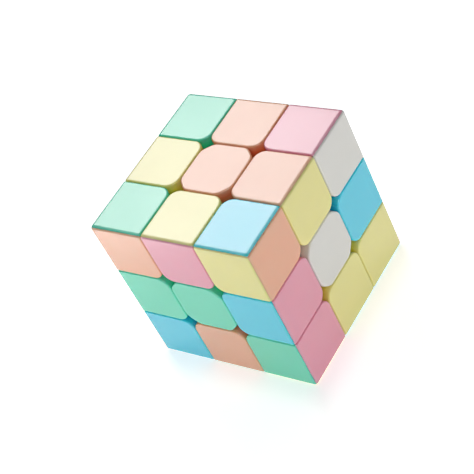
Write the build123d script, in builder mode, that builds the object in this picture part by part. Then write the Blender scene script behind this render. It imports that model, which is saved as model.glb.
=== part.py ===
# A 3 x 3 x 3 twisty cube with pieces moulded in six colours, in millimetres, +Z up.
# The origin is the cube's centre, where the six turning axes cross.
# Each corner is three colour shells and each edge is two, joined face to face. Every shell
# carries its share of the foot that hooks under the neighbouring centres and edges.
# Cut surfaces are planes and spheres about the origin, so any face turns past the rest.
import os
from math import cos, radians, sqrt

from build123d import *

os.makedirs("parts", exist_ok=True)

# ---- driving dimensions ----
cube_side = 56.0          # over the flat faces
piece_gap = 0.25          # between neighbouring pieces
outer_radius = 1.2        # rounding of the cube's own edges and corners
rim_radius = 0.5          # rounding round each coloured face
crossing_radius = 3.6     # cut-back of corners and edges where four pieces meet
centre_cut = 3.3          # straight cut-back of the centres where four pieces meet
centre_radius = 3.4       # rounding where that cut meets the sides
wall = 1.4                # shell thickness
shell_floor = 1.2         # shell thickness over the feet
seam_width = 0.17         # groove between two colour shells along the cube's edges

stem_radius = 6.2         # outside of a centre's stem
stem_wall = 1.6           # side wall of the stem
stem_floor = 1.6          # floor of the stem, which the spring presses on
stem_reach = 3.3          # from one stem's side to the next stem's end, along the axis
foot_clearance = 0.25     # between a stem and the feet that pass it
neck_reach = 4.2          # foot surface beyond the inner corner of the corner blocks
foot_thickness = 4.0      # along the radius
foot_radius = 2.0         # rounding of a foot's inner corners
neck_inset = 0.7          # from the side of an edge's foot to the side of its neck

cap_height = 4.0          # of a centre's cap, down its sides
cap_seam = 0.06           # line between the cap and the body below it
cap_plate = 1.5           # top of the cap
snap_ring_wall = 0.95
snap_ring_length = 5.0    # below the cap's plate
snap_fit = 0.05           # radial, between the snap ring and the stem's bore

arm_radius = 4.0          # core arms
hub_radius = 6.0          # ball in the middle of the core
bearing_gap = 0.1         # between a core arm and the stem above it

shank_radius = 1.45       # screw
shank_fit = 0.05          # radial, screw in core
shank_clearance = 0.3     # radial, screw through the stem's floor
tip_height = 3.0          # screw tip above the centre of the cube
tip_room = 0.4            # hole below the screw's tip
head_radius = 3.5
head_height = 2.2
head_room = 1.15          # between the screw's head and the snap ring
recess_width = 0.8        # cross recess in the screw's head
recess_length = 4.0
recess_depth = 1.2
washer_thickness = 0.6
washer_clearance = 0.6    # radial, washer in the stem's bore
washer_bore_clearance = 0.25
contact_gap = 0.05        # between stacked pieces that bear on each other
wire = 0.8                # spring wire, across
spring_inset = 1.2        # radial, spring in the stem's bore
spring_pitch = 1.15

# ---- worked out from them ----
half = cube_side / 2
layer = cube_side / 6                           # the cutting planes, three equal layers
slack = piece_gap / 2
block_low = layer + slack                       # outer blocks start here
slice_high = layer - slack                      # middle blocks end here
block_side = half - block_low
foot_sphere = sqrt(3) * layer + neck_reach      # parts the feet from what covers them
foot_outer = foot_sphere - slack
foot_inner = foot_sphere - foot_thickness
cover_inner = foot_sphere + slack
cover_floor = cover_inner + shell_floor         # the hollow inside a shell starts here
foot_plane = stem_radius + foot_clearance       # parts one foot from the next
foot_low = foot_plane + slack
foot_high = foot_plane - slack
neck_half_width = foot_high - neck_inset
seam_height = half - outer_radius * (1 - cos(radians(45)))

cap_bottom = half - cap_height
body_top = cap_bottom - cap_seam
plate_bottom = half - cap_plate
ring_bottom = plate_bottom - snap_ring_length
stem_bottom = stem_radius + stem_reach
stem_bore = stem_radius - stem_wall
bore_bottom = stem_bottom + stem_floor
head_bottom = ring_bottom - head_room - head_height
washer_bottom = head_bottom - contact_gap - washer_thickness
spring_bottom = bore_bottom + contact_gap
spring_height = washer_bottom - contact_gap - spring_bottom
spring_radius = stem_bore - spring_inset - wire / 2

up, down = Vector(0, 0, 1), Vector(0, 0, -1)
right, left = Vector(1, 0, 0), Vector(-1, 0, 0)
back, front = Vector(0, 1, 0), Vector(0, -1, 0)
normals = {"up": up, "down": down, "front": front, "back": back, "right": right, "left": left}

# the colour of each piece on each face it shows, a scramble that can be solved
centre_colours = {
    "up": "peach", "down": "pink", "front": "mint", "back": "blue", "right": "white", "left": "yellow",
}
edge_colours = [
    {"up": "yellow", "front": "pink"},
    {"up": "peach", "right": "yellow"},
    {"up": "peach", "back": "white"},
    {"up": "yellow", "left": "mint"},
    {"front": "blue", "right": "pink"},
    {"front": "mint", "left": "pink"},
    {"back": "peach", "right": "blue"},
    {"back": "pink", "left": "white"},
    {"down": "mint", "front": "peach"},
    {"down": "blue", "right": "yellow"},
    {"down": "mint", "back": "white"},
    {"down": "white", "left": "blue"},
]
corner_colours = [
    {"up": "blue", "front": "yellow", "right": "peach"},
    {"up": "mint", "front": "peach", "left": "white"},
    {"up": "pink", "back": "mint", "right": "white"},
    {"up": "mint", "back": "peach", "left": "yellow"},
    {"down": "yellow", "front": "mint", "right": "pink"},
    {"down": "white", "front": "blue", "left": "peach"},
    {"down": "blue", "back": "pink", "right": "yellow"},
    {"down": "pink", "back": "white", "left": "blue"},
]


def edges_along(part, first, second):
    """Straight edges that run along one axis, at the given distances on the other two."""
    found = []
    for edge in part.edges():
        reach = sorted(abs(value) for value in edge @ 0.5)
        levels = sorted((first, second))
        pairs = [reach[:2], reach[1:], [reach[0], reach[2]]]
        if any(abs(a - levels[0]) + abs(b - levels[1]) < 1e-6 for a, b in pairs):
            found.append(edge)
    return found


def save(piece, name):
    """Label a finished piece and write it as one node."""
    piece.label = name
    export_step(piece, f"parts/{name}.step")


# ---- corner: a block with three outer faces, modelled in the +X +Y +Z octant ----
with BuildPart() as corner_hollow:
    with Locations((block_low + wall, block_low + wall, block_low + wall)):
        Box(*[block_side - 2 * wall] * 3, align=[Align.MIN] * 3)
    inner_low = block_low + wall
    fillet(edges_along(corner_hollow, inner_low, inner_low), crossing_radius - wall)
    Sphere(cover_floor, mode=Mode.SUBTRACT)

with BuildPart() as corner_foot:
    with Locations((foot_low, foot_low, foot_low)):
        Box(*[foot_outer] * 3, align=[Align.MIN] * 3)
    fillet(edges_along(corner_foot, foot_low, foot_low), foot_radius)
    Sphere(foot_outer, mode=Mode.INTERSECT)
    Sphere(foot_inner, mode=Mode.SUBTRACT)

with BuildPart() as corner_piece:
    with Locations((block_low, block_low, block_low)):
        Box(*[block_side] * 3, align=[Align.MIN] * 3)
    fillet(edges_along(corner_piece, block_low, block_low), crossing_radius)
    fillet(edges_along(corner_piece, half, half), outer_radius)
    rim = []
    for edge in corner_piece.edges():
        middle = edge @ 0.5
        reaches_outside = max(middle) > half - outer_radius / 2
        faces_a_neighbour = min(middle) < block_low + crossing_radius / 2
        if reaches_outside and faces_a_neighbour:
            rim.append(edge)
    fillet(rim, rim_radius)
    add(corner_hollow.part, mode=Mode.SUBTRACT)
    add(corner_foot.part)
    for side in (Axis.X, Axis.Y, Axis.Z):
        along = side.direction
        bar = Vector(1, 1, 1) * seam_width + along * (cube_side - seam_width)
        with Locations((Vector(1, 1, 1) - along) * seam_height):
            Box(bar.X, bar.Y, bar.Z, mode=Mode.SUBTRACT)

# one third of it, the part nearest the +Z face
with BuildPart() as corner_third:
    add(corner_piece.part)
    split(bisect_by=Plane(origin=(0, 0, 0), z_dir=(-1, 0, 1)), keep=Keep.TOP)
    split(bisect_by=Plane(origin=(0, 0, 0), z_dir=(0, -1, 1)), keep=Keep.TOP)

# ---- edge: a block with two outer faces, +Y and +Z ----
with BuildPart() as edge_hollow:
    inner_side = block_side - 2 * wall
    with Locations((0, block_low + wall, block_low + wall)):
        Box(2 * (slice_high - wall), inner_side, inner_side, align=(Align.CENTER, Align.MIN, Align.MIN))
    fillet(edges_along(edge_hollow, slice_high - wall, block_low + wall), crossing_radius - wall)
    Sphere(cover_floor, mode=Mode.SUBTRACT)

with BuildPart() as edge_foot:
    with Locations((0, foot_low, foot_low)):
        Box(2 * foot_high, foot_outer, foot_outer, align=(Align.CENTER, Align.MIN, Align.MIN))
    fillet(edges_along(edge_foot, foot_high, foot_low), foot_radius)
    Sphere(foot_outer, mode=Mode.INTERSECT)
    Sphere(foot_inner, mode=Mode.SUBTRACT)

with BuildPart() as edge_neck:
    with Locations((0, block_low, block_low)):
        Box(2 * neck_half_width, half, half, align=(Align.CENTER, Align.MIN, Align.MIN))
    Sphere(cover_inner + shell_floor / 2, mode=Mode.INTERSECT)
    Sphere(foot_inner, mode=Mode.SUBTRACT)

with BuildPart() as edge_piece:
    with Locations((0, block_low, block_low)):
        Box(2 * slice_high, block_side, block_side, align=(Align.CENTER, Align.MIN, Align.MIN))
    fillet(edges_along(edge_piece, slice_high, block_low), crossing_radius)
    fillet(edges_along(edge_piece, half, half), outer_radius)
    rim = []
    for edge in edge_piece.edges():
        middle = edge @ 0.5
        reaches_outside = max(middle.Y, middle.Z) > half - outer_radius / 2
        beside_a_corner = abs(middle.X) > slice_high - crossing_radius / 2
        beside_a_centre = min(middle.Y, middle.Z) < block_low + crossing_radius / 2
        if reaches_outside and (beside_a_corner or beside_a_centre):
            rim.append(edge)
    fillet(rim, rim_radius)
    Sphere(cover_inner, mode=Mode.SUBTRACT)
    add(edge_hollow.part, mode=Mode.SUBTRACT)
    add(edge_neck.part)
    add(edge_foot.part)
    with Locations((0, seam_height, seam_height)):
        Box(cube_side, seam_width, seam_width, mode=Mode.SUBTRACT)

# one half of it, the part nearest the +Z face
with BuildPart() as edge_half:
    add(edge_piece.part)
    split(bisect_by=Plane(origin=(0, 0, 0), z_dir=(0, -1, 1)), keep=Keep.TOP)

# ---- centre: a stem on the +Z axis with an eight-sided block and a cap ----
def centre_outline(height, inset=0):
    """Sketch the block's outline at a height, drawn in by an inset."""
    with BuildSketch(Plane.XY.offset(height)) as outline:
        Rectangle(2 * slice_high, 2 * slice_high)
        chamfer(outline.vertices(), centre_cut)
        fillet(outline.vertices(), centre_radius)
        if inset:
            offset(amount=-inset, mode=Mode.REPLACE)
    return outline.sketch


with BuildPart() as centre_pocket:
    extrude(centre_outline(block_low, inset=wall), amount=plate_bottom - block_low)
    Cylinder(stem_radius, cube_side, mode=Mode.SUBTRACT)
    Sphere(cover_inner + wall, mode=Mode.SUBTRACT)

with BuildPart() as centre_body:
    extrude(centre_outline(block_low), amount=body_top - block_low)
    Sphere(cover_inner, mode=Mode.SUBTRACT)
    with BuildSketch(Plane.XY.offset(stem_bottom)):
        Circle(stem_radius)
    extrude(amount=body_top - stem_bottom)
    add(centre_pocket.part, mode=Mode.SUBTRACT)
    with BuildSketch(Plane.XY.offset(bore_bottom)):
        Circle(stem_bore)
    extrude(amount=cap_bottom - bore_bottom, mode=Mode.SUBTRACT)
    with BuildSketch(Plane.XY.offset(stem_bottom)):
        Circle(shank_radius + shank_clearance)
    extrude(amount=stem_floor, mode=Mode.SUBTRACT)

with BuildPart() as centre_cap:
    extrude(centre_outline(cap_bottom), amount=cap_height)
    fillet(centre_cap.faces().sort_by(Axis.Z)[-1].edges(), rim_radius)
    hollow = centre_outline(cap_bottom, inset=wall)
    extrude(hollow, amount=plate_bottom - cap_bottom, mode=Mode.SUBTRACT)
    with BuildSketch(Plane.XY.offset(ring_bottom)):
        Circle(stem_bore - snap_fit)
        Circle(stem_bore - snap_fit - snap_ring_wall, mode=Mode.SUBTRACT)
    extrude(amount=snap_ring_length)

# ---- core: a ball with six arms, drilled for the screws ----
with BuildPart() as core:
    Sphere(hub_radius)
    for normal in normals.values():
        with BuildSketch(Plane(origin=(0, 0, 0), z_dir=normal)):
            Circle(arm_radius)
        extrude(amount=stem_bottom - bearing_gap)
    for normal in normals.values():
        with BuildSketch(Plane(origin=normal * (tip_height - tip_room), z_dir=normal)):
            Circle(shank_radius + shank_fit)
        extrude(amount=stem_bottom, mode=Mode.SUBTRACT)
save(core.part, "core")

# ---- screw, washer and spring, each on the +Z axis ----
with BuildPart() as screw:
    with BuildSketch(Plane.XY.offset(tip_height)):
        Circle(shank_radius)
    extrude(amount=head_bottom - tip_height)
    with BuildSketch(Plane.XY.offset(head_bottom)):
        Circle(head_radius)
    extrude(amount=head_height)
    with BuildSketch(Plane.XY.offset(head_bottom + head_height)):
        Rectangle(recess_length, recess_width)
        Rectangle(recess_width, recess_length)
    extrude(amount=-recess_depth, mode=Mode.SUBTRACT)

with BuildPart() as washer:
    with BuildSketch(Plane.XY.offset(washer_bottom)):
        Circle(stem_bore - washer_clearance)
        Circle(shank_radius + washer_bore_clearance, mode=Mode.SUBTRACT)
    extrude(amount=washer_thickness)

with BuildPart() as spring:
    with BuildLine(Plane.XY.offset(spring_bottom + wire / 2)) as coil:
        Helix(pitch=spring_pitch, height=spring_height - wire, radius=spring_radius)
    with BuildSketch(Plane(origin=coil.line @ 0, z_dir=coil.line % 0)):
        Circle(wire / 2)
    sweep(path=coil.line)

# ---- the pieces in their places ----
for name, single in {"screws": screw, "washers": washer, "springs": spring}.items():
    with BuildPart() as group:
        for normal in normals.values():
            with Locations(Plane(origin=(0, 0, 0), z_dir=normal).location):
                add(single.part)
    save(group.part, name)

for face, normal in normals.items():
    with BuildPart() as centre:
        with Locations(Plane(origin=(0, 0, 0), z_dir=normal).location):
            add(centre_body.part)
            add(centre_cap.part)
    save(centre.part, f"centre_{face}_{centre_colours[face]}")

for colours in edge_colours:
    for face, colour in colours.items():
        normal = normals[face]
        (other,) = [normals[name] for name in colours if name != face]
        with BuildPart() as edge_shell:
            with Locations(Plane(origin=(0, 0, 0), x_dir=other.cross(normal), z_dir=normal).location):
                add(edge_half.part)
        save(edge_shell.part, f"edge_{'_'.join(colours)}_{colour}_shell")

for colours in corner_colours:
    for face, colour in colours.items():
        normal = normals[face]
        first, second = [normals[name] for name in colours if name != face]
        x_dir = first if (normal.cross(first) - second).length < 1e-6 else second
        with BuildPart() as corner_shell:
            with Locations(Plane(origin=(0, 0, 0), x_dir=x_dir, z_dir=normal).location):
                add(corner_third.part)
        save(corner_shell.part, f"corner_{'_'.join(colours)}_{colour}_shell")
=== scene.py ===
import math

import bmesh
import bpy
from mathutils import Matrix, Vector


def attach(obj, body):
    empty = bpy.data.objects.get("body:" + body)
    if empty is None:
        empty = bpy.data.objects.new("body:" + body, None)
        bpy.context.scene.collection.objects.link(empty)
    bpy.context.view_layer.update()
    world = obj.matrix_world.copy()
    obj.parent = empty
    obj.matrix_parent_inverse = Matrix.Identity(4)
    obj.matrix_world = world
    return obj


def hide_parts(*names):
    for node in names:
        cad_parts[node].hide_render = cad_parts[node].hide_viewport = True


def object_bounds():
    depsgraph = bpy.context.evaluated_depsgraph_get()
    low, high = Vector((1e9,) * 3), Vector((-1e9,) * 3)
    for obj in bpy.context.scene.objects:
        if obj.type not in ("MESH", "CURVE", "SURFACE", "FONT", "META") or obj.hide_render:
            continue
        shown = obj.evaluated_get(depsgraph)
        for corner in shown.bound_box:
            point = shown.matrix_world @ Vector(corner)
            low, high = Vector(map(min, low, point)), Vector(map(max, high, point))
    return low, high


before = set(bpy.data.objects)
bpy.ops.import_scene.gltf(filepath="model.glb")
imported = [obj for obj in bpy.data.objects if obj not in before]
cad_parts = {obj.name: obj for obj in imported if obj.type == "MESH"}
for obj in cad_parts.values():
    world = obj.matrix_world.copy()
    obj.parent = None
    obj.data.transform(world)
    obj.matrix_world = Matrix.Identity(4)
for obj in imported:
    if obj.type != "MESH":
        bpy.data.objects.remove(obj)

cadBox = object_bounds()
scene = bpy.context.scene
mm = 0.001


def linear(hexText):
    # sRGB hex to the linear RGBA that the shader wants
    shares = [int(hexText[i:i + 2], 16) / 255 for i in (1, 3, 5)]
    return [s / 12.92 if s <= 0.04045 else ((s + 0.055) / 1.055) ** 2.4 for s in shares] + [1.0]


def addNode(tree, kind, settings=None, links=None):
    # settings go to sockets where the name or number is one, and to the node itself otherwise
    node = tree.nodes.new(kind)
    for key, value in (settings or {}).items():
        if isinstance(key, int) or key in node.inputs:
            node.inputs[key].default_value = value
        else:
            setattr(node, key, value)
    for key, socket in (links or {}).items():
        tree.links.new(socket, node.inputs[key])
    return node


def farthest(tree, place, axes):
    # the largest of a point's distances from the origin along some of the axes
    spread = addNode(tree, "ShaderNodeVectorMath", {"operation": "ABSOLUTE"}, {0: place})
    split = addNode(tree, "ShaderNodeSeparateXYZ", {}, {0: spread.outputs[0]})
    reach = split.outputs[axes[0]]
    for axis in axes[1:]:
        larger = addNode(
            tree, "ShaderNodeMath", {"operation": "MAXIMUM"}, {0: reach, 1: split.outputs[axis]}
        )
        reach = larger.outputs[0]
    return reach


def newMaterial(name):
    material = bpy.data.materials.new(name)
    material.use_nodes = True
    material.node_tree.nodes.clear()
    return material, material.node_tree


# camera
cameraSetup = {
    "place": (236.3, -197.2, 265.7),     # mm from the cube's centre
    "aim": (-3.21, -2.41, 1.14),
    "roll": -28.5,                       # degrees, turned about the line of sight
    "lens": 105.45,
    "sensor": 36.0,
}
cameraData = bpy.data.cameras.new("camera")
cameraData.lens = cameraSetup["lens"]
cameraData.sensor_width = cameraSetup["sensor"]
cameraData.clip_start = 0.01
cameraData.clip_end = 20
camera = bpy.data.objects.new("camera", cameraData)
scene.collection.objects.link(camera)
cameraPlace = Vector(cameraSetup["place"]) * mm
sight = (Vector(cameraSetup["aim"]) * mm - cameraPlace).to_track_quat("-Z", "Y").to_matrix().to_4x4()
camera.matrix_world = (
    Matrix.Translation(cameraPlace) @ sight @ Matrix.Rotation(math.radians(cameraSetup["roll"]), 4, "Z")
)
scene.camera = camera
print("camera placed")

# moulded ABS, one colour per shell
# ABS is a little cloudy, so light bleeds through the thin walls.
# A satin steel mould leaves a soft gloss with a faint orange peel.
plastic = {
    "colours": {
        "pink": "#EE9CB1",
        "blue": "#30D4F0",
        "mint": "#59DFBC",
        "yellow": "#F0E790",
        "peach": "#F3B08C",
        "white": "#E2E1DB",
    },
    "ior": 1.54,
    "skin": 1.0,            # specular level, from the polished mould
    "roughness": (0.22, 0.26),
    "glow": 1.0,            # subsurface weight
    "glowReach": 2.0 * mm,
    "peelSize": 0.9 * mm,   # orange peel
    "peelDepth": 0.003 * mm,
    "peelStrength": 0.6,
    "mixSize": 9 * mm,      # cloudiness of the pigment
    "mixShare": 0.05,
    "paintedGlowFrom": 0.7 * mm,   # below the faces, where the painted glow begins
    "paintedGlowTo": 2.2 * mm,
    "paintedGlowPower": 1.9,        # power that the colour is raised to there
    "paintedGlowTop": 0.93,        # its brightest channel
    "handlingSize": 12 * mm,  # where fingers have dulled or polished it
}


def mouldedAbs(name, hexText):
    material, tree = newMaterial(f"mouldedAbs{name.capitalize()}")
    place = addNode(tree, "ShaderNodeTexCoord").outputs["Object"]
    cloud = addNode(
        tree, "ShaderNodeTexNoise", {"Scale": 1 / plastic["mixSize"], "Detail": 3.0}, {"Vector": place}
    )
    shade = linear(hexText)
    dark = [c * (1 - plastic["mixShare"]) for c in shade[:3]] + [1.0]
    tint = addNode(
        tree, "ShaderNodeMix", {"data_type": "RGBA", 6: dark, 7: shade}, {0: cloud.outputs["Fac"]}
    )
    # painted glow: down in the gaps the walls get a stronger, more saturated colour that stands for light
    # which has crossed more plastic and bounced between the walls
    paintedGlowColour = [c ** plastic["paintedGlowPower"] for c in shade[:3]]
    paintedGlowColour = [c * plastic["paintedGlowTop"] / max(paintedGlowColour) for c in paintedGlowColour] + [1.0]
    paintedGlowMask = addNode(
        tree, "ShaderNodeMapRange",
        {"From Min": cadBox[1].x - plastic["paintedGlowFrom"], "From Max": cadBox[1].x - plastic["paintedGlowTo"]},
        {"Value": farthest(tree, place, "XYZ")},
    )
    tintAndPaintedGlow = addNode(
        tree, "ShaderNodeMix", {"data_type": "RGBA", 7: paintedGlowColour},
        {0: paintedGlowMask.outputs["Result"], 6: tint.outputs[2]},
    )
    touch = addNode(
        tree, "ShaderNodeTexNoise", {"Scale": 1 / plastic["handlingSize"], "Detail": 0.0}, {"Vector": place}
    )
    low, high = plastic["roughness"]
    gloss = addNode(
        tree, "ShaderNodeMapRange", {"To Min": low, "To Max": high}, {"Value": touch.outputs["Fac"]}
    )
    peel = addNode(
        tree, "ShaderNodeTexNoise", {"Scale": 1 / plastic["peelSize"], "Detail": 2.0}, {"Vector": place}
    )
    bump = addNode(
        tree, "ShaderNodeBump", {"Strength": plastic["peelStrength"], "Distance": plastic["peelDepth"]},
        {"Height": peel.outputs["Fac"]},
    )
    shader = addNode(
        tree, "ShaderNodeBsdfPrincipled",
        {
            "IOR": plastic["ior"],
            "Specular IOR Level": plastic["skin"],
            "Subsurface Weight": plastic["glow"],
            "Subsurface Radius": [0.4 + 0.6 * c for c in shade[:3]],
            "Subsurface Scale": plastic["glowReach"],
        },
        {
            "Base Color": tintAndPaintedGlow.outputs[2], "Roughness": gloss.outputs["Result"],
            "Normal": bump.outputs["Normal"],
        },
    )
    addNode(tree, "ShaderNodeOutputMaterial", {}, {"Surface": shader.outputs["BSDF"]})
    return material


plastics = {name: mouldedAbs(name, hexText) for name, hexText in plastic["colours"].items()}
for nodeName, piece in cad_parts.items():
    for name, material in plastics.items():
        if name in nodeName.split("_"):
            piece.data.materials.clear()
            piece.data.materials.append(material)
print("shells coloured")

# core: moulded nylon, matte and a little waxy
nylon = {
    "colour": "#DEDDD6",
    "roughness": 0.52,
    "ior": 1.53,
    "grainSize": 0.35 * mm,
    "grainDepth": 0.004 * mm,
    "grainStrength": 0.7,
    "glow": 0.3,
    "glowReach": 0.8 * mm,
}


def mouldedNylon():
    material, tree = newMaterial("mouldedNylon")
    place = addNode(tree, "ShaderNodeTexCoord").outputs["Object"]
    grain = addNode(
        tree, "ShaderNodeTexNoise", {"Scale": 1 / nylon["grainSize"], "Detail": 3.0}, {"Vector": place}
    )
    bump = addNode(
        tree, "ShaderNodeBump", {"Strength": nylon["grainStrength"], "Distance": nylon["grainDepth"]},
        {"Height": grain.outputs["Fac"]},
    )
    shader = addNode(
        tree, "ShaderNodeBsdfPrincipled",
        {
            "Base Color": linear(nylon["colour"]),
            "Roughness": nylon["roughness"],
            "IOR": nylon["ior"],
            "Subsurface Weight": nylon["glow"],
            "Subsurface Scale": nylon["glowReach"],
        },
        {"Normal": bump.outputs["Normal"]},
    )
    addNode(tree, "ShaderNodeOutputMaterial", {}, {"Surface": shader.outputs["BSDF"]})
    return material


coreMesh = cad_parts["core"].data
coreMesh.materials.clear()
coreMesh.materials.append(mouldedNylon())

# steel for the hardware
# Zinc plate is pale, with faint cloudy spangle; drawn wire is darker, and its fine drawing lines are given
# only as a finer cloud pattern.
steel = {
    "spread": (0.3, 0.7),    # of the cloud pattern, which the roughness covers
    "bumpStrength": 0.8,
    "zinc": {"colour": "#C9CCD1", "cloudSize": 0.9 * mm, "roughness": (0.22, 0.38), "bump": 0.0012 * mm},
    "wire": {"colour": "#A9ABAE", "cloudSize": 0.25 * mm, "roughness": (0.24, 0.34), "bump": 0.0015 * mm},
}


def platedSteel(name, look):
    material, tree = newMaterial(name)
    place = addNode(tree, "ShaderNodeTexCoord").outputs["Object"]
    cloud = addNode(
        tree, "ShaderNodeTexNoise", {"Scale": 1 / look["cloudSize"], "Detail": 4.0}, {"Vector": place}
    )
    cloudLow, cloudHigh = steel["spread"]
    low, high = look["roughness"]
    gloss = addNode(
        tree, "ShaderNodeMapRange",
        {"From Min": cloudLow, "From Max": cloudHigh, "To Min": low, "To Max": high},
        {"Value": cloud.outputs["Fac"]},
    )
    bump = addNode(
        tree, "ShaderNodeBump", {"Strength": steel["bumpStrength"], "Distance": look["bump"]},
        {"Height": cloud.outputs["Fac"]},
    )
    shader = addNode(
        tree, "ShaderNodeBsdfPrincipled", {"Base Color": linear(look["colour"]), "Metallic": 1.0},
        {"Roughness": gloss.outputs["Result"], "Normal": bump.outputs["Normal"]},
    )
    addNode(tree, "ShaderNodeOutputMaterial", {}, {"Surface": shader.outputs["BSDF"]})
    return material


zincSteel = platedSteel("zincPlatedSteel", steel["zinc"])
springSteel = platedSteel("drawnSpringSteel", steel["wire"])

faceNormals = {
    "up": Vector((0, 0, 1)), "down": Vector((0, 0, -1)), "front": Vector((0, -1, 0)),
    "back": Vector((0, 1, 0)), "right": Vector((1, 0, 0)), "left": Vector((-1, 0, 0)),
}


def lathe(bm, profile, steps):
    # turns a chain of (radius, height) in mm about Z, and welds the ends that lie on the axis
    verts = [bm.verts.new((r * mm, 0, z * mm)) for r, z in profile]
    edges = [bm.edges.new(pair) for pair in zip(verts, verts[1:])]
    bmesh.ops.spin(
        bm, geom=verts + edges, cent=(0, 0, 0), axis=(0, 0, 1), angle=math.tau, steps=steps, use_merge=True
    )
    bmesh.ops.remove_doubles(bm, verts=bm.verts, dist=1e-7)


def coil(bm, section, legs):
    # sweeps a closed chain of (radius, height) in mm up a helix, leg by leg: (turns, pitch in mm)
    verts = [bm.verts.new((r * mm, 0, z * mm)) for r, z in section]
    geom = verts + [bm.edges.new(pair) for pair in zip(verts, verts[1:] + verts[:1])]
    stepsPerTurn = 48
    for turns, pitch in legs:
        swept = bmesh.ops.spin(
            bm, geom=geom, cent=(0, 0, 0), axis=(0, 0, 1), angle=math.tau * turns,
            dvec=(0, 0, pitch * mm / stepsPerTurn), steps=round(stepsPerTurn * turns), use_merge=False,
        )
        geom = swept["geom_last"]
    bmesh.ops.holes_fill(bm, edges=[e for e in bm.edges if e.is_boundary], sides=0)


def closeMesh(bm, name, smoothAngle=35):
    bmesh.ops.recalc_face_normals(bm, faces=bm.faces)
    for face in bm.faces:
        face.smooth = True
    for edge in bm.edges:
        edge.smooth = edge.calc_face_angle(0) < math.radians(smoothAngle)
    mesh = bpy.data.meshes.new(name)
    bm.to_mesh(mesh)
    bm.free()
    return mesh


def placeSix(mesh, name, material, node):
    # one copy on each of the six axes, turned in its mesh
    mesh.materials.append(material)
    for face, normal in faceNormals.items():
        copy = mesh.copy()
        copy.transform(Vector((0, 0, 1)).rotation_difference(normal).to_matrix().to_4x4())
        piece = bpy.data.objects.new(f"{name}_{face}", copy)
        scene.collection.objects.link(piece)
        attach(piece, "core")
        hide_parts(node)


# screw: pan head with a cross recess, rolled thread
screw = {
    "tip": 3.0, "tipRadius": 0.9, "rootRadius": 1.18, "crestRadius": 1.44,
    "threadFrom": 3.7, "threadTurns": 7, "pitch": 0.8,
    "threadFoot": 0.34, "threadCrest": 0.06,    # half widths
    "threadSunk": 0.1,                          # of its foot below the root, so that no gap is left
    "runOut": 0.3,
    "headFrom": 18.15, "headTop": 20.35, "headRadius": 3.5, "headRound": 0.9,
    "recessLength": 4.0, "recessWidth": 0.8, "recessDepth": 1.2, "recessTaper": 0.72,
}
threadTop = screw["threadFrom"] + screw["threadTurns"] * screw["pitch"]
headArc = [
    (
        screw["headRadius"] - screw["headRound"] * (1 - math.cos(math.radians(a))),
        screw["headTop"] - screw["headRound"] * (1 - math.sin(math.radians(a))),
    )
    for a in range(0, 91, 15)
]
bm = bmesh.new()
lathe(
    bm,
    [
        (0, screw["tip"]), (screw["tipRadius"], screw["tip"]),
        (screw["rootRadius"], screw["threadFrom"] - screw["runOut"]),
        (screw["rootRadius"], threadTop + screw["runOut"]),
        (screw["crestRadius"], threadTop + 2 * screw["runOut"]),
        (screw["crestRadius"], screw["headFrom"]),
        (screw["headRadius"] - 0.1, screw["headFrom"]), (screw["headRadius"], screw["headFrom"] + 0.1),
    ] + headArc + [(0, screw["headTop"])],
    64,
)
screwBody = closeMesh(bm, "screwBody")
bm = bmesh.new()
for turn in (0, 90):
    made = bmesh.ops.create_cube(bm, size=1)["verts"]
    for vert in made:
        sink = vert.co.z < 0
        vert.co.x *= screw["recessLength"] * (screw["recessTaper"] if sink else 1) * mm
        vert.co.y *= screw["recessWidth"] * (screw["recessTaper"] if sink else 1) * mm
        vert.co.z = (screw["headTop"] - screw["recessDepth"] if sink else screw["headTop"] + 0.4) * mm
    bmesh.ops.rotate(bm, verts=made, cent=(0, 0, 0), matrix=Matrix.Rotation(math.radians(turn), 3, "Z"))
cutter = bpy.data.objects.new("recessCutter", closeMesh(bm, "recessCutter"))
blank = bpy.data.objects.new("screwBlank", screwBody)
for helper in (cutter, blank):
    scene.collection.objects.link(helper)
cut = blank.modifiers.new("recess", "BOOLEAN")
cut.object = cutter
cut.solver = "EXACT"
cut.use_self = True
bpy.context.view_layer.update()
cutBody = bpy.data.meshes.new_from_object(blank.evaluated_get(bpy.context.evaluated_depsgraph_get()))
for helper in (cutter, blank):
    bpy.data.objects.remove(helper)
threadRoot = screw["rootRadius"] - screw["threadSunk"]
bm = bmesh.new()
coil(
    bm,
    [
        (threadRoot, screw["threadFrom"] - screw["threadFoot"]),
        (screw["crestRadius"], screw["threadFrom"] - screw["threadCrest"]),
        (screw["crestRadius"], screw["threadFrom"] + screw["threadCrest"]),
        (threadRoot, screw["threadFrom"] + screw["threadFoot"]),
    ],
    [(screw["threadTurns"], screw["pitch"])],
)
bm.from_mesh(cutBody)
placeSix(closeMesh(bm, "screw"), "screw", zincSteel, "screws")
print("screws made")

# washer: stamped, with rounded rims
washer = {"bore": 1.7, "radius": 4.0, "low": 17.5, "high": 18.1, "rim": 0.1, "rimBulge": 0.3}
bm = bmesh.new()
inner, outer, low, high, rim = (washer[k] for k in ("bore", "radius", "low", "high", "rim"))
bulge = rim * washer["rimBulge"]
lathe(
    bm,
    [
        (inner, low + rim), (inner + bulge, low + bulge), (inner + rim, low), (outer - rim, low),
        (outer - bulge, low + bulge), (outer, low + rim), (outer, high - rim),
        (outer - bulge, high - bulge), (outer - rim, high), (inner + rim, high),
        (inner + bulge, high - bulge), (inner, high - rim), (inner, low + rim),
    ],
    64,
)
placeSix(closeMesh(bm, "washer", smoothAngle=60), "washer", zincSteel, "washers")
print("washers made")

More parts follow.
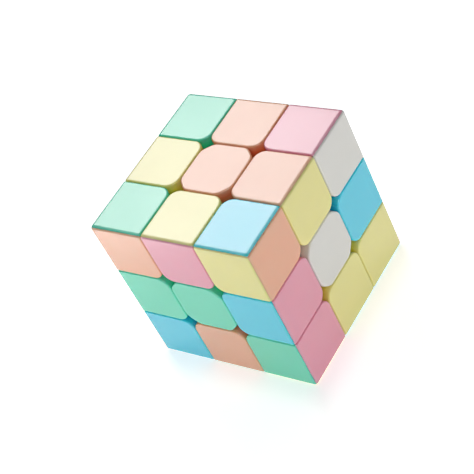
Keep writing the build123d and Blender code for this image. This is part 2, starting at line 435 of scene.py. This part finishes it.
# spring: drawn wire with closed, ground ends
spring = {
    "radius": 3.0, "wire": 0.8, "wireSides": 16, "low": 11.15, "high": 17.45,
    "ground": 0.25,         # taken off each end
    "endPitch": 0.82, "openTurns": 3.5,
}
wireRadius = spring["wire"] / 2
wireStart = spring["low"] + wireRadius - spring["ground"]
openRise = spring["high"] - wireRadius + spring["ground"] - wireStart - 2 * spring["endPitch"]
bm = bmesh.new()
coil(
    bm,
    [
        (
            spring["radius"] + wireRadius * math.cos(math.tau * side / spring["wireSides"]),
            wireStart + wireRadius * math.sin(math.tau * side / spring["wireSides"]),
        )
        for side in range(spring["wireSides"])
    ],
    [
        (1, spring["endPitch"]), (spring["openTurns"], openRise / spring["openTurns"]),
        (1, spring["endPitch"]),
    ],
)
for height, outward in ((spring["low"], -1), (spring["high"], 1)):
    bmesh.ops.bisect_plane(
        bm, geom=bm.verts[:] + bm.edges[:] + bm.faces[:], plane_co=(0, 0, height * mm),
        plane_no=(0, 0, outward), clear_outer=True,
    )
    bmesh.ops.holes_fill(bm, edges=[e for e in bm.edges if e.is_boundary], sides=0)
bmesh.ops.triangulate(bm, faces=[f for f in bm.faces if len(f.verts) > 4])
placeSix(closeMesh(bm, "spring"), "spring", springSteel, "springs")
print("springs made")

# floor and light
stage = {
    "floorSide": 4.0,
    "floor": "#FFFFFF",
    "floorGlow": 0.58,      # a white table lit from below
    "paintedShadowShare": 0.75,    # share of the floor's glow left in the painted contact shadow beside the cube
    "paintedShadowWidth": 10 * mm,
    "world": 0.12,
    "floorRoughness": 0.9,
    "spot": {"place": (-95, -115, 700), "cone": 12, "watts": 45, "size": 20 * mm},
    "lights": {
        # name: (direction, distance, width, height, watts)
        "backLeft": ((-0.58, 0.485, 0.65), 0.9, 0.34, 0.34, 2.0),
        "backStrip": ((0.05, 0.485, 0.87), 0.9, 1.1, 0.14, 0.9),
        "leftStrip": ((-0.58, -0.1, 0.81), 0.9, 1.1, 0.14, 0.9),
        "besideCamera": ((0.58, -0.5, 0.65), 0.9, 0.3, 0.3, 2.1),
    },
}
bm = bmesh.new()
bmesh.ops.create_grid(bm, x_segments=1, y_segments=1, size=stage["floorSide"] / 2)
bmesh.ops.translate(bm, verts=bm.verts, vec=(0, 0, cadBox[0].z))
floorMesh = bpy.data.meshes.new("floor")
bm.to_mesh(floorMesh)
bm.free()
floor = bpy.data.objects.new("floor", floorMesh)
scene.collection.objects.link(floor)
floorMaterial, tree = newMaterial("paintedFloor")
# painted contact shadow: the floor's glow is turned down towards the cube's footprint, where a shadow would
# fall
footprint = cadBox[1].x
glow = addNode(
    tree, "ShaderNodeMapRange",
    {
        "interpolation_type": "SMOOTHSTEP",
        "From Min": footprint,
        "From Max": footprint + stage["paintedShadowWidth"],
        "To Min": stage["paintedShadowShare"] * stage["floorGlow"],
        "To Max": stage["floorGlow"],
    },
    {"Value": farthest(tree, addNode(tree, "ShaderNodeTexCoord").outputs["Object"], "XY")},
)
floorShader = addNode(
    tree, "ShaderNodeBsdfPrincipled",
    {
        "Base Color": linear(stage["floor"]), "Roughness": stage["floorRoughness"],
        "Emission Color": linear(stage["floor"]),
    },
    {"Emission Strength": glow.outputs["Result"]},
)
addNode(tree, "ShaderNodeOutputMaterial", {}, {"Surface": floorShader.outputs["BSDF"]})
floorMesh.materials.append(floorMaterial)

world = bpy.data.worlds.new("studio")
world.use_nodes = True
world.node_tree.nodes["Background"].inputs["Color"].default_value = (1, 1, 1, 1)
world.node_tree.nodes["Background"].inputs["Strength"].default_value = stage["world"]
scene.world = world
for name, (direction, distance, width, height, watts) in stage["lights"].items():
    lamp = bpy.data.lights.new(name, "AREA")
    lamp.shape = "RECTANGLE"
    lamp.size = width
    lamp.size_y = height
    lamp.energy = watts
    lampObject = bpy.data.objects.new(name, lamp)
    scene.collection.objects.link(lampObject)
    lampObject.location = Vector(direction).normalized() * distance
    lampObject.rotation_mode = "QUATERNION"
    lampObject.rotation_quaternion = (-Vector(direction)).to_track_quat("-Z", "Y")
# a narrow lamp makes a bright patch on the table, in front and to the left, which the front face mirrors
spot = bpy.data.lights.new("tableSpot", "SPOT")
spot.energy = stage["spot"]["watts"]
spot.spot_size = math.radians(stage["spot"]["cone"])
spot.spot_blend = 1.0
spot.shadow_soft_size = stage["spot"]["size"]
spotObject = bpy.data.objects.new("tableSpot", spot)
scene.collection.objects.link(spotObject)
spotObject.location = Vector(stage["spot"]["place"]) * mm
scene.view_settings.view_transform = "Standard"
print("stage lit")
